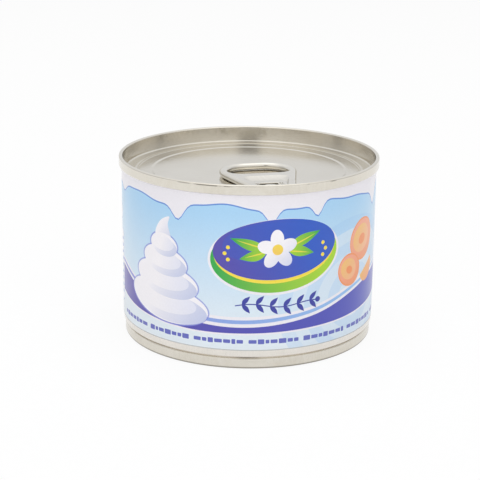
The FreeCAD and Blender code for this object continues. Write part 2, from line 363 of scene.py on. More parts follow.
def rivetParts():
    # boss with a swept foot, stem, then the staked head with the punch's shallow dimple
    r, t, overlap = rivetShape, tabShape, te["overlap"]
    bossTop = panelHeight + t["gap"] + t["tongueLift"]
    headBase = bossTop + t["sheet"]
    headTop = headBase + r["headHeight"]
    boss = [(r["foot"], panelHeight - 0.02, 0), (r["boss"] + 0.05, panelHeight + 0.1, r["footBend"]),
            (r["boss"], bossTop, 0.1), (0, bossTop, 0)]
    stem = [(r["stem"], bossTop - overlap, 0), (r["stem"], headBase + overlap, 0)]
    head = [(0, headBase, 0), (r["head"], headBase, 0.08), (r["head"], headTop, r["headBend"]),
            (r["dimple"], headTop - 0.02, 0.25), (r["dimpleFoot"], headTop - r["dimpleDepth"], 0.2),
            (0, headTop - 0.22, 0)]
    return [turnRun(bendRun(run, 12), r["segments"], rivetAt, flip=-1) for run in (boss, stem, head)]


topEnd = makeObject("topEndSheet", joinParts(topEndParts() + rivetParts()), endTinplate)
print("top end turned:", len(topEnd.data.polygons), "faces")

baseEndShape = {
    "plate": 0.18, "seam": 1.1, "seamLength": 3.0, "bodyPlate": 0.17, "hookIn": 0.1, "hookDown": 1.4,
    "countersink": 3.9, "shoulder": 2.9, "shoulderWidth": 3.2, "wallBend": 0.36,
    "stepRise": 0.4, "stepBend": 0.32, "ringWidth": 5.0, "ringCount": 2,
}


def baseFaceRun():
    # the lower side, from the rim's inner edge to the middle; heights are above the table
    b = baseEndShape
    inner = baseRimRadius - b["seam"]
    foot = inner - te["lean"]
    outer = foot - te["countersinkWidth"]
    run = [(inner, 0, te["crown"]), (foot, b["countersink"], b["wallBend"]),
           (outer, b["countersink"], b["wallBend"]), (outer, b["shoulder"], b["stepBend"])]
    radius, height = outer - b["shoulderWidth"], b["shoulder"]
    for _ in range(b["ringCount"]):
        run += [(radius, height, b["stepBend"]),
                (radius - te["stepRun"], height - b["stepRise"], b["stepBend"])]
        radius, height = radius - te["stepRun"] - b["ringWidth"], height - b["stepRise"]
    return run + [(0, run[-1][1], 0)]


def baseEndParts():
    b = baseEndShape
    face = baseFaceRun()
    under = shiftRun(face, -b["plate"])[::-1]
    collar = baseRimRadius - b["seam"] + b["plate"] + b["bodyPlate"]
    under[-1] = (collar - b["hookIn"], b["seamLength"] - b["hookDown"], 0)
    hem = (collar - te["overlap"], b["seamLength"], 0)
    outside = [hem, (baseRimRadius, b["seamLength"], te["edge"]), (baseRimRadius, 0, te["crown"])]
    parts = []
    for run in (bendRun(outside + face, 9), bendRun(under + [hem], 30)):
        parts.append(turnRun([(x, y, -nx, -ny) for x, y, nx, ny in run], te["segments"]))
    return parts


baseEnd = makeObject("baseEndSheet", joinParts(baseEndParts()), baseTinplate)
print("base end turned:", len(baseEnd.data.polygons), "faces")


# the pull tab is drawn flat: x across it, y from its rivet towards the ring's end
def distanceTo(loop, points):
    # signed distance from each point to a closed loop, positive inside
    a = np.array([p[:2] for p in loop])
    b = np.roll(a, -1, axis=0)
    pts = np.asarray(points, float)[:, None, :]
    edge = b - a
    share = np.clip(((pts - a) * edge).sum(-1) / (edge ** 2).sum(-1), 0, 1)
    nearest = a + share[..., None] * edge
    gap = np.sqrt(((pts - nearest) ** 2).sum(-1)).min(1)
    crosses = (a[:, 1] > pts[..., 1]) != (b[:, 1] > pts[..., 1])
    with np.errstate(divide="ignore", invalid="ignore"):
        at = (b[:, 0] - a[:, 0]) * (pts[..., 1] - a[:, 1]) / (b[:, 1] - a[:, 1]) + a[:, 0]
    inside = (crosses & (pts[..., 0] < at)).sum(1) % 2 == 1
    return np.where(inside, gap, -gap)


def ease(value, low, high):
    share = np.clip((value - low) / (high - low), 0, 1)
    return share * share * (3 - 2 * share)


def quarterRound(depth, radius):
    # how far a rounded edge has risen, as a share, at a depth inside it
    return np.sqrt(1 - (1 - (depth / radius).clip(0, 1)) ** 2)


def tabLoops():
    t = tabShape
    h, w, n, end, bend = t["halfWidth"], t["widest"], t["noseHalf"], t["end"], t["endBend"]
    outline = [(h, end, bend), (-h, end, bend), (-h, w, bend), (-n, -t["nose"], t["noseBend"]),
               (n, -t["nose"], t["noseBend"]), (h, w, bend)]
    a, far, bend = t["holeHalf"], t["holeNear"] + t["holeLength"], t["holeFarBend"]
    hole = [(a, far, bend), (-a, far, bend), (-a, t["holeNear"], t["holeNearBend"]),
            (a, t["holeNear"], t["holeNearBend"])]
    slope = (h - n) / (w + t["nose"])

    def sunk(top, inset):
        # outline of the pressed-down web: it tapers with the tab
        foot = -t["nose"] + t["curl"] + inset
        upper, lower = (n + slope * (y + t["nose"]) - t["curl"] * math.hypot(1, slope) - inset
                        for y in (top, foot))
        return [(x, y, t["webBend"]) for x, y in ((upper, top), (-upper, top), (-lower, foot), (lower, foot))]

    a, b, foot, end = t["tongueHalf"], t["tongueHalf"] + t["slot"], -t["slotFoot"], t["slotEnd"]
    top, bend = t["tongueTop"], t["tongueBend"]
    slot = [(b, top + t["slot"], bend + t["slot"]), (-b, top + t["slot"], bend + t["slot"]),
            (-b, foot, end), (-a, foot, end), (-a, top, bend), (a, top, bend), (a, foot, end), (b, foot, end)]
    runs = {"outline": outline, "hole": hole, "slot": slot, "webTop": sunk(t["rampTop"], 0),
            "webFoot": sunk(t["rampFoot"], t["wallRun"]), "under": sunk(t["holeNear"] - t["curl"], 0)}
    return {key: fillLoop(bendRun(run, 8, closed=True), t["spacing"]) for key, run in runs.items()}


def tabSurface(loops, points):
    # heights of the tab's two faces above the ring's underside, over points of its plan
    t = tabShape
    x, y = points[:, 0], points[:, 1]
    edge = np.minimum(distanceTo(loops["outline"], points), -distanceTo(loops["hole"], points)).clip(0)
    cut = (-distanceTo(loops["slot"], points)).clip(0)
    radius = t["thickness"] / 2
    nose = t["noseRelief"] / 2 * (1 - ease(y, t["reliefEnd"] - 1.6, t["reliefEnd"] + 1.0))
    curl = (radius - nose) * quarterRound(edge, radius)
    curlTop, curlBottom = radius + nose + curl, radius + nose - curl
    # the sheet dips inside the rolled edge: steep at the sides, a long hollow ramp towards the hole
    inside = distanceTo(loops["webTop"], points).clip(0)
    outside = (-distanceTo(loops["webFoot"], points)).clip(0)
    rise = (outside / np.maximum(inside + outside, 1e-9)) ** t["rampHollow"]
    web = radius + t["sheet"] / 2
    sheetTop = web + (curlTop - web) * rise
    hollow = ease(distanceTo(loops["under"], points), -0.3, 0.3)
    sheetBottom = curlBottom * (1 - hollow) + (sheetTop - t["sheet"]) * hollow
    # the tongue that the rivet holds is set a little lower than the web
    tongue = (np.abs(x) < t["tongueHalf"] + t["slot"] / 2) * (y < t["tongueTop"] + t["slot"] / 2)
    sink = radius - t["sheet"] / 2 - t["tongueLift"]
    drop = sink * tongue * ease(y, -t["slotFoot"] - 0.35, -t["slotFoot"] + 0.25)
    middle, half = (sheetTop + sheetBottom) / 2 - drop, (sheetTop - sheetBottom) / 2
    half = half * quarterRound(cut, t["cutEdge"])
    # underneath, the rolled edge closes along a groove
    closing = 1 - ease(np.abs(edge - t["groove"]), 0.0, t["grooveWidth"])
    return middle + half, middle - half + t["grooveDepth"] * closing * (1 - hollow)


def tabPlan(loops, gaps):
    # triangles of the tab's plan, with rows of points close inside its rounded edges
    t, step = tabShape, tabShape["step"]
    edgeDepths, slotDepths = (0.02, 0.08, 0.18, 0.32, 0.5, 0.72, 0.96), (0.03, 0.08, 0.2)
    rows = (("outline", -1, edgeDepths), ("hole", 1, edgeDepths), ("slot", 1, slotDepths))
    rings = np.array([(p[0] + side * p[2] * d, p[1] + side * p[3] * d)
                      for key, side, depths in rows for d in depths for p in loops[key]])
    across = np.arange(-t["halfWidth"], t["halfWidth"] + step, step)
    along = np.arange(-t["nose"], t["end"] + step, step * 0.866)
    grid = np.array([(x + (row % 2) * step / 2, y) for row, y in enumerate(along) for x in across])
    toEdge, toSlot = gaps(rings)
    rings = rings[(toEdge > 0.015) & (toSlot > 0.025)]
    toEdge, toSlot = gaps(grid)
    grid = grid[(toEdge > 1.05) & (toSlot > 0.3)]
    points, links = [], []
    for key, _, _ in rows:
        start, count = len(points), len(loops[key])
        points += [Vector(p[:2]) for p in loops[key]]
        links += [(start + i, start + (i + 1) % count) for i in range(count)]
    points += [Vector(p) for p in np.vstack([rings, grid])]
    flat, _, triangles, _, _, _ = delaunay_2d_cdt(points, links, [], 0, 1e-4)
    flat = np.array([tuple(p) for p in flat])
    inner = np.minimum(*gaps(np.array([flat[list(f)].mean(0) for f in triangles]))) > 0
    kept = [list(f) for f, on in zip(triangles, inner) if on]
    used = sorted({i for f in kept for i in f})
    fresh = {old: new for new, old in enumerate(used)}
    kept = [[fresh[i] for i in f] for f in kept]
    flat = flat[used]
    return flat, [f if np.cross(flat[f[1]] - flat[f[0]], flat[f[2]] - flat[f[0]]) > 0 else f[::-1]
                  for f in kept]


def makeTab():
    t = tabShape
    loops = tabLoops()

    def gaps(points):
        toEdge = np.minimum(distanceTo(loops["outline"], points), -distanceTo(loops["hole"], points))
        return toEdge, -distanceTo(loops["slot"], points)

    flat, kept = tabPlan(loops, gaps)
    rim = np.minimum(*gaps(flat)) < 2e-3
    top, bottom = tabSurface(loops, flat)
    # slopes of both faces, by small differences
    nudge = 0.004
    slopes = []
    for dx, dy in ((nudge, 0), (0, nudge)):
        ahead, behind = tabSurface(loops, flat + (dx, dy)), tabSurface(loops, flat - (dx, dy))
        slopes.append([(u - v) / (2 * nudge) for u, v in zip(ahead, behind)])
    lift = panelHeight + t["gap"]
    c, s = math.cos(math.radians(t["turn"])), math.sin(math.radians(t["turn"]))

    def place(i, z):
        x, y = flat[i]
        return (rivetAt[0] + x * c - y * s) * mm, (rivetAt[1] + x * s + y * c) * mm, (z + lift) * mm

    def facing(i, face, upward):
        n = np.array([-slopes[0][face][i] * upward, -slopes[1][face][i] * upward, upward])
        n = n / np.linalg.norm(n)
        return n[0] * c - n[1] * s, n[0] * s + n[1] * c, n[2]

    vertices = [place(i, z) for i, z in enumerate(top)]
    normals = [facing(i, 0, 1) for i in range(len(flat))]
    lower = list(range(len(flat)))
    for i in np.flatnonzero(~rim):
        lower[i] = len(vertices)
        vertices.append(place(i, bottom[i]))
        normals.append(facing(i, 1, -1))
    # at the rim both faces meet, and the edge faces straight out
    for i in np.flatnonzero(rim):
        normals[i] = tuple(Vector((normals[i][0], normals[i][1], 0)).normalized())
    return vertices, kept + [[lower[i] for i in reversed(f)] for f in kept], normals


pullTab = makeObject("pullTabPressing", makeTab(), tabTinplate)
print("pull tab pressed:", len(pullTab.data.polygons), "faces")

# The print is laid out flat, as on the tinplate sheet: x runs round the can from the middle of the front,
# z is the height above the table, both in mm. Later shapes lie over earlier ones.
bodyShape = {
    "collar": 35.37, "bottom": 2.4, "top": 49.9, "printFoot": 5.45, "stripeHalf": 2.6,
    "neckStart": 3.25, "neckLength": 2.4, "neckBend": 1.4, "neckWaist": (36.45, 3.62),
    "columns": 240, "rowStep": 2.0, "closeDepth": 5.2, "closeHeight": 4.3,
}
printInks = {
    "white": "#ebe8ee", "skyDeep": "#a6d1f1", "mist": "#dfe9f0", "ripple": "#8fbfec", "line": "#5f8fd8",
    "royal": "#0b50bf", "violet": "#4c3ea4", "wave": "#4149b6", "waveLight": "#8088d6", "text": "#28319a",
    "caption": "#5a62b8", "lime": "#a5d214", "leaf": "#1fa53d", "yellow": "#f2d83c", "peach": "#f0a78f",
    "orange": "#ee8f52", "gold": "#eec05c", "cream": "#f3f0f4", "shade": "#b9c2e2", "shadeSoft": "#dcdff0",
    "printFootShade": "#a9a8a2",
}
printPlan = {
    "rings": ((34, 17), (-78, 24), (104, 30)), "ringSizes": (23.0, 19.6, 16.2, 12.8, 9.4, 6.0),
    "bandEdge": 45.9, "drips": 9, "swirl": (-25.0, 16.8), "plate": (8.0, 32.0), "sprig": (8.0, 18.4),
    "rounds": ((38.5, 32.4, 6.2, 18), (32.2, 24.8, 4.7, -24)), "cutRound": (41.8, 23.2),
    "footStrokes": (-46.0, 50.0), "notePanel": (-56.5, 20.5), "barPanel": (86.0, 27.0), "bars": (75.0, 89.0),
}
printLayers = []


def turnPoint(x, z, u, v, tilt):
    c, s = math.cos(math.radians(tilt)), math.sin(math.radians(tilt))
    return x + u * c - v * s, z + u * s + v * c


def discOutline(x, z, rx, rz, tilt=0.0, count=56):
    turns = [2 * math.pi * k / count for k in range(count)]
    return [turnPoint(x, z, rx * math.cos(a), rz * math.sin(a), tilt) for a in turns]


def barOutline(x, z, width, height, bend=None):
    bend = min(height, width) / 2 - 0.01 if bend is None else bend
    corners = [(i * width / 2, j * height / 2, bend) for i, j in ((1, 1), (-1, 1), (-1, -1), (1, -1))]
    return [(x + px, z + pz) for px, pz, _, _ in bendRun(corners, 22, closed=True)]


def leafOutline(x, z, length, width, tilt):
    side = [(length * k / 16, width / 2 * math.sin(math.pi * (k / 16) ** 0.8)) for k in range(17)]
    flat = side + [(u, -0.75 * v) for u, v in side[-2:0:-1]]
    return [turnPoint(x, z, u, v, tilt) for u, v in flat]


def curvePoints(knots, count=10):
    # a smooth line through the knots
    pts = [knots[0]] + list(knots) + [knots[-1]]
    line = []
    for four in zip(pts, pts[1:], pts[2:], pts[3:]):
        for k in range(count):
            t = k / count
            line.append(tuple(0.5 * (2 * b + (c - a) * t + (2 * a - 5 * b + 4 * c - d) * t * t
                                     + (3 * b - a - 3 * c + d) * t ** 3) for a, b, c, d in zip(*four)))
    return line + [tuple(knots[-1])]


def blend(a, b, share):
    share = min(max(share, 0.0), 1.0)
    return tuple(u + (v - u) * share for u, v in zip(a, b))


def layInk(outline, ink, towards=None, start=(0, 0), end=(0, 1), cover=1.0):
    # one printed layer: an outline and its ink, which may fade to another from start to end, and its cover
    area = sum(a[0] * b[1] - b[0] * a[1] for a, b in zip(outline, outline[1:] + outline[:1]))
    first, second = (hexLinear(printInks[name])[:3] for name in (ink, towards or ink))
    printLayers.append((outline if area > 0 else outline[::-1], first, second, start, end, cover))


def inkAt(layers, x, z):
    colour = hexLinear(printInks["white"])[:3]
    for i in layers:
        _, first, second, (x0, z0), (x1, z1), cover = printLayers[i]
        share = ((x - x0) * (x1 - x0) + (z - z0) * (z1 - z0)) / ((x1 - x0) ** 2 + (z1 - z0) ** 2)
        colour = blend(colour, blend(first, second, share), cover)
    return colour


def printGround():
    low, high = bodyShape["printFoot"], bodyShape["top"]
    left, right = -around + bodyShape["stripeHalf"], around - bodyShape["stripeHalf"]
    layInk([(left, low), (right, low), (right, high), (left, high)], "skyDeep", "mist", (0, 44), (0, 12))
    # soft rings, as from a drop falling in cream
    for x, z in printPlan["rings"]:
        for k, radius in enumerate(printPlan["ringSizes"]):
            ring = discOutline(x, z, radius * 1.12, radius, 0, 72)
            ring = [(px, min(max(pz, low), high)) for px, pz in ring]
            layInk(ring, "mist" if k % 2 else "ripple", cover=0.5 if k % 2 else 0.26)
    # white shoulder band with a softly running lower edge
    drips = []
    for k in range(printPlan["drips"]):
        depth, width = 2.4 + 2.4 * abs(math.sin(k * 1.3 + 0.4)), 2.5 + 0.6 * math.sin(k)
        drips.append((-86 + 22.0 * k + 5.0 * math.sin(k * 2.1), depth, width))
    for ink, sink in (("line", 0.4), ("white", 0.0)):
        edge = []
        for k in range(241):
            x = left + (right - left) * k / 240
            run = sum(depth * math.exp(-((x - at) / width) ** 2) for at, depth, width in drips)
            z = printPlan["bandEdge"] - sink - 0.7 * math.sin(x / 5.3) - 0.3 * math.sin(x / 2.2 + 1) - run
            edge.append((x, z))
        layInk(edge + [(right, high), (left, high)], ink)
    # painted shade: a grey line along the print's foot, where the sheet turns in to the neck
    layInk([(left, low), (right, low), (right, low + 0.28), (left, low + 0.28)], "printFootShade", cover=0.75)


def printRibbons():
    # a ribbon of milk and blue that falls from the left and runs out to the right
    upper = [(-92, 19.1), (-78, 20.4), (-64, 22.0), (-48, 21.6), (-34, 17.2), (-17, 13.2),
             (0, 12.2), (18, 14.2), (34, 18.4), (50, 21.6), (64, 21.8), (80, 20.0)]
    lower = [(-92, 19.0), (-78, 17.6), (-64, 15.6), (-48, 13.6), (-34, 11.6), (-17, 10.5),
             (0, 10.5), (18, 11.0), (34, 11.8), (50, 13.4), (64, 15.6), (80, 19.2)]
    taper = [max(0.0, 1 - abs(x / 92)) ** 0.4 for x, _ in upper]
    for ink, towards, lift, sink in (("white", None, 3.0, 0.5), ("waveLight", "ripple", 2.1, 0.0),
                                     ("white", None, 1.0, 0.0), ("violet", "wave", 0.0, 0.0)):
        top = curvePoints([(x, z + lift * t) for (x, z), t in zip(upper, taper)])
        foot = curvePoints([(x, z - sink * t) for (x, z), t in zip(lower, taper)])
        layInk(foot + top[::-1], ink, towards, (-40, 20), (40, 14))


def printSwirl(x, z):
    # whipped cream in four turns with a curled tip
    tiers = [(z + up, rx, rz) for up, rx, rz in ((0.0, 14.2, 5.6), (6.2, 11.2, 5.0), (11.6, 7.9, 4.2),
                                                 (16.2, 4.8, 3.3))]
    for h, rx, rz in tiers:
        layInk(discOutline(x, h, rx + 0.45, rz + 0.45, -6), "waveLight", cover=0.75)
    tip = [(-3.2, 17.2), (-2.7, 20.4), (-0.7, 23.2), (2.2, 24.5), (1.7, 22.1), (2.9, 18.4)]
    tip = curvePoints([(x + u, z + v) for u, v in tip], 8)
    layInk(tip, "cream", "shade", (x - 2, z + 20), (x + 4, z + 16))
    for h, rx, rz in tiers:
        dark = discOutline(x + rx * 0.06, h - rz * 0.16, rx * 0.92, rz * 0.8, -6)
        pale = discOutline(x - rx * 0.1, h + rz * 0.16, rx * 0.86, rz * 0.66, -6)
        layInk(discOutline(x, h, rx, rz, -6), "cream")
        layInk(dark, "shade", "cream", (x + rx, h - rz), (x - rx * 0.2, h + rz * 0.7))
        layInk(pale, "cream", "shadeSoft", (x - rx * 0.2, h), (x + rx * 0.9, h - rz * 0.4))


def printPlate(x, z):
    # two-tone oval plate with a blossom between leaves
    layInk(discOutline(x, z, 19.0, 10.6, 3, 96), "white")
    layInk(discOutline(x, z, 18.3, 9.9, 3, 96), "leaf", "lime", (x - 16, z - 9), (x + 14, z - 6))
    layInk(discOutline(x, z + 1.5, 17.4, 8.8, 3, 96), "yellow")
    layInk(discOutline(x, z + 2.1, 17.6, 8.4, 3, 96), "violet", "royal", (x - 15, z - 4), (x + 8, z + 6))
    layInk(discOutline(x - 3, z + 4.2, 12.0, 5.4, 6, 72), "royal", cover=0.4)
    for side in (-1, 1):
        for k, tilt in enumerate((20, -12)):
            angle = tilt + 3 if side > 0 else 183 - tilt
            at = (x + side * 3.0, z + 2.4 - 0.8 * k)
            leaf = leafOutline(*at, 10.2 - 2.6 * k, 3.4, angle)
            layInk(leaf, "lime", "leaf", at, (at[0] + side * 9, at[1]))
            layInk(leafOutline(*at, 8.6 - 2.4 * k, 0.45, angle), "yellow", cover=0.8)
        for k in range(3):
            berry = (x + side * (13.4 + 0.9 * (k % 2)), z - 0.6 + 1.7 * k)
            layInk(discOutline(*berry, 0.55, 0.55, count=16), "yellow")
    for k in range(5):
        angle = math.radians(93 + 72 * k)
        at = (x + 2.9 * math.cos(angle), z + 2.1 + 2.9 * math.sin(angle))
        petal = discOutline(*at, 2.7, 1.85, math.degrees(angle), 28)
        layInk(petal, "cream", "shade", (x, z + 3), (x + 6, z - 5))
    layInk(discOutline(x, z + 2.1, 1.5, 1.5, count=22), "gold", "yellow", (x - 1, z), (x + 1, z + 4))


def printSprig(x, z, pairs=6, pitch=3.8):
    # a stem with paired leaves, in the dark line ink
    half = pairs * pitch / 2
    stem = [(x - half + pitch * k / 2, z + 0.5 * math.sin(k * 0.7)) for k in range(2 * pairs + 1)]
    line = curvePoints(stem, 4)
    layInk([(u, v - 0.16) for u, v in line] + [(u, v + 0.16) for u, v in line[::-1]], "text")
    for u, v in stem[1::2]:
        for tilt in (48, -48):
            layInk(leafOutline(u, v, pitch * 0.86, 1.5, tilt), "text")
    layInk(discOutline(stem[-1][0] + 0.7, stem[-1][1], 0.8, 0.8, count=18), "text")


def printPeaches():
    # two whole rounds and a cut one
    for x, z, r, tilt in printPlan["rounds"]:
        lit, dim = (x - r, z + r), (x + r, z - r)
        layInk(discOutline(x, z, r + 0.35, r * 0.92 + 0.35, tilt), "orange")
        layInk(discOutline(x, z, r, r * 0.9, tilt), "peach", "orange", lit, dim)
        layInk(discOutline(x - 0.4, z + 0.3, r * 0.74, r * 0.64, tilt), "gold", "peach", lit, dim)
        layInk(discOutline(x - 0.2, z, r * 0.3, r * 0.24, tilt), "orange")
    x, z = printPlan["cutRound"]
    cut = [(u, v) for u, v in discOutline(x, z, 4.4, 3.7, 30) if v - z < 0.55 * (u - x) + 0.9]
    layInk(cut, "gold", "orange", (38, 26), (45, 20))


def printNotes():
    # plain strokes where small print would run: along the foot, in panels and in columns; none can be read
    x, last = printPlan["footStrokes"]
    i = 0
    while x < last:
        width = 0.9 + 1.3 * abs(math.sin(i * 2.3 + 0.4))
        layInk(barOutline(x + width / 2, 8.1, width, 1.05 + 0.35 * (i % 3 == 1), 0.2), "caption")
        x += width + (1.5 if i % 7 == 6 else 0.34)
        i += 1
    layInk(barOutline(*printPlan["notePanel"], 15.6, 21.6, 1.8), "line")
    layInk(barOutline(*printPlan["notePanel"], 15.0, 21.0, 1.6), "cream")
    for row in range(9):
        z = 28.4 - row * 2.0
        layInk(barOutline(-58.6 + 0.3 * (row % 2), z, 8.4 - 1.6 * (row % 3), 0.85), "line")
        layInk(barOutline(-51.0, z, 2.6, 0.85), "line")
    for x, tilt in ((-59.4, 0), (-53.2, 90)):
        layInk(discOutline(x, 36.0, 2.4, 2.4, count=32), "caption")
        layInk(discOutline(x, 36.0, 2.0, 2.0, count=32), "cream")
        layInk(leafOutline(x - 1.1, 36.0, 2.2, 1.4, tilt), "caption")
    for row in range(9):
        layInk(barOutline(60.5 - 0.5 * (row % 3), 40.0 - row * 1.75, 5.4 - 1.0 * (row % 3), 0.9), "caption")
    layInk(barOutline(*printPlan["barPanel"], 30.0, 24.0, 1.6), "cream")
    x, last = printPlan["bars"]
    i = 0
    while x < last:
        width = 0.25 + 0.25 * ((i * 7) % 4)
        layInk(barOutline(x + width / 2, 28.0, width, 14.0, 0.02), "text")
        x += width + 0.3 + 0.2 * ((i * 5) % 3)
        i += 1
    for row in range(8):
        layInk(barOutline(95.5 - 0.4 * (row % 3), 35.6 - row * 2.3, 6.6 - 0.8 * (row % 3), 0.9), "caption")
    for row in range(6):
        layInk(barOutline(-90 + 1.2 * (row % 2), 38.0 - row * 2.4, 24 - 3.5 * (row % 4), 1.0), "caption")


printGround()
printRibbons()
printSwirl(*printPlan["swirl"])
printPlate(*printPlan["plate"])
printSprig(*printPlan["sprig"])
printPeaches()
printNotes()


def neckRun():
    b = bodyShape
    run = [(b["collar"], b["bottom"], 0), (b["collar"], b["neckStart"], 0.12), (*b["neckWaist"], 0.22),
           (bodyRadius, b["neckStart"] + b["neckLength"], b["neckBend"]), (bodyRadius, b["top"], 0)]
    return bendRun(run, 8)


def cutSheet(heights):
    # the flat sheet, cut along its columns, its rows, the weld's stripe and every printed outline
    b = bodyShape
    rowCount = int((b["top"] - 7) / b["rowStep"]) + 1
    rows = {round(float(h), 4) for h in heights} | {b["printFoot"], b["top"]}
    rows |= {b["neckStart"] + b["neckLength"] + 1 + b["rowStep"] * k for k in range(rowCount)}
    rows = sorted(z for z in rows if b["bottom"] <= z <= b["top"])
    columns = [around * (2 * k / b["columns"] - 1) for k in range(b["columns"] + 1)]
    stripe = around - b["stripeHalf"]
    lines = [((x, rows[0]), (x, rows[-1])) for x in columns]
    lines += [((-around, z), (around, z)) for z in rows]
    lines += [((x, rows[0]), (x, rows[-1])) for x in (-stripe, stripe)]
    points = [Vector(end) for line in lines for end in line]
    links = [(2 * k, 2 * k + 1) for k in range(len(lines))]
    outlines = []
    for outline, *_ in printLayers:
        outlines.append(list(range(len(points), len(points) + len(outline))))
        points += [Vector((min(max(x, -around), around), z)) for x, z in outline]
    flat, _, triangles, _, _, owners = delaunay_2d_cdt(points, links, outlines, 0, 1e-5)
    return [(p.x, p.y) for p in flat], triangles, owners


def makeBody():
    b = bodyShape
    radii, heights, outX, outZ = (np.array(values) for values in zip(*neckRun()))
    flat, triangles, owners = cutSheet(heights)
    vertices, normals = [], []
    for x, z in flat:
        angle = x / bodyRadius
        r, nx, nz = (float(np.interp(z, heights, values)) for values in (radii, outX, outZ))
        length = math.hypot(nx, nz)
        s, c = math.sin(angle), -math.cos(angle)
        vertices.append((r * s * mm, r * c * mm, z * mm))
        normals.append((nx * s / length, nx * c / length, nz / length))
    faces, colours, plain = [], [], []
    for triangle, ids in zip(triangles, owners):
        x = sum(flat[i][0] for i in triangle) / 3
        z = sum(flat[i][1] for i in triangle) / 3
        layers = sorted(ids)
        faces.append(list(triangle))
        plain.append(z < b["printFoot"] or abs(x) > around - b["stripeHalf"])
        # colours are taken a hair inside the triangle, so that a shape's edge stays sharp
        corners = [(flat[i][0] * 0.998 + x * 0.002, flat[i][1] * 0.998 + z * 0.002) for i in triangle]
        colours.append([inkAt(layers, *corner) for corner in corners])
    return (vertices, faces, normals), colours, plain


def bodyInside():
    # closes the body under both ends, out of sight
    b = bodyShape
    top, foot = canHeight - b["closeDepth"], b["closeHeight"]
    upper = [(bodyRadius, b["top"], 0), (rimInner + 0.07, b["top"], 0.05), (rimInner - 0.12, top, 0.05),
             (0, top, 0)]
    lower = [(0, foot, 0), (34.9, foot, 0.05), (35.2, b["bottom"], 0.02), (b["collar"], b["bottom"], 0)]
    return [turnRun(bendRun(run, 40), b["columns"], flip=-1) for run in (upper, lower)]


sheet, inks, bare = makeBody()
canBody = makeObject("printedBody", joinParts([sheet] + bodyInside()))
ink = canBody.data.color_attributes.new("ink", "FLOAT_COLOR", "CORNER")
spread = [value for face in inks for colour in face for value in (*colour, 1.0)]
spread += [0.8, 0.8, 0.8, 1.0] * (len(ink.data) - len(spread) // 4)
ink.data.foreach_set("color", spread)
print("body printed:", len(canBody.data.polygons), "faces,", len(printLayers), "print shapes")

printLook = {
    "roughness": 0.34, "varnish": {"Coat Weight": 0.5, "Coat Roughness": 0.12, "IOR": 1.5},
    "dotPitch": 0.5,       # mm; a real screen is 0.15 mm and would not show
    "clouds": 0.06,        # per mm, uneven ink
    "plateWave": 9.0,      # mm between the faint hollows left by rolling the body round
    "waveDepth": 0.12, "waveStrength": 0.12,
}
weldLook = {
    "weld": "#77736f", "blued": "#a39a86", "stripe": "#d3cfc6", "roughness": 0.3,
    "beat": 0.9, "ragged": 0.35,    # welding nuggets per mm, and how far they stray in mm
    "lacquer": {"Coat Weight": 0.3, "Coat Roughness": 0.2},
}


def lithoOnEnamel(look):
    # offset litho on white enamel, stoved and varnished: full colour, even gloss, faint dot and plate wave
    material, add = newMaterial("lithoPrintedEnamelTinplate")
    place = add("TexCoord").outputs["Object"]
    colour = add("Attribute", attribute_name="ink")
    dot = add("TexVoronoi", {"Vector": place, "Scale": 1 / (look["dotPitch"] * mm)})
    cloud = add("TexNoise", {"Vector": place, "Scale": look["clouds"] / mm, "Detail": 4.0})
    level = add("Math", {0: dot, 1: cloud}, operation="ADD")
    value = add("MapRange", {
        "Value": level, "From Min": 0.4, "From Max": 1.5, "To Min": 1.015, "To Max": 0.975})
    inked = add("HueSaturation", {"Color": colour, "Value": value})
    wave = add("TexNoise", {"Vector": place, "Scale": 1 / (look["plateWave"] * mm), "Detail": 1.0})
    bump = add("Bump", {
        "Height": wave, "Strength": look["waveStrength"], "Distance": look["waveDepth"] * mm})
    smooth, dull = look["roughness"] * 0.85, look["roughness"] * 1.15
    rough = add("MapRange", {"Value": cloud, "To Min": smooth, "To Max": dull})
    shader = add("BsdfPrincipled", {
        "Base Color": inked, "Roughness": rough, "Normal": bump, **look["varnish"]})
    add("OutputMaterial", {"Surface": shader})
    return material


def weldedSeam(look):
    # the bare stripe left for the side weld: plain tinplate with a narrow blued line where the edges met
    material, add = newMaterial("tinplateSideWeld")
    place = add("TexCoord").outputs["Object"]
    parts = add("SeparateXYZ", {"Vector": place}).outputs
    off = add("Math", {0: parts["X"]}, operation="ABSOLUTE")
    beat = add("TexNoise", {"Vector": place, "Scale": look["beat"] / mm, "Detail": 2.0})
    ragged = add("Math", {0: beat, 1: look["ragged"] * mm, 2: off}, operation="MULTIPLY_ADD")
    share = add("Math", {0: ragged, 1: 0.5 / mm}, operation="MULTIPLY")
    colour = add("ValToRGB", {"Fac": share}, [
        (0.22, hexLinear(look["weld"])), (0.36, hexLinear(look["blued"])),
        (0.5, hexLinear(look["stripe"]))])
    bump = add("Bump", {"Height": beat, "Strength": 0.2, "Distance": 0.05 * mm})
    shader = add("BsdfPrincipled", {
        "Base Color": colour, "Metallic": 1.0, "Roughness": look["roughness"], "Normal": bump,
        **look["lacquer"]})
    add("OutputMaterial", {"Surface": shader})
    return material


for material in (lithoOnEnamel(printLook), bodyTinplate, weldedSeam(weldLook)):
    canBody.data.materials.append(material)
printed, plainTin, weld = range(3)
slots = []
for k, polygon in enumerate(canBody.data.polygons):
    if k < len(bare) and not bare[k]:
        slots.append(printed)
    elif k >= len(bare) or polygon.center.z < bodyShape["printFoot"] * mm:
        slots.append(plainTin)
    else:
        slots.append(weld)
canBody.data.polygons.foreach_set("material_index", slots)

for piece, node, slotName in (
        (canBody, "can_body", "printed_tinplate"), (topEnd, "top_end", "lacquered_tinplate"),
        (baseEnd, "base_end", "lacquered_tinplate"), (pullTab, "pull_tab", "tab_steel")):
    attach(piece, "root")
    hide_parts(node)
print("materials assigned")

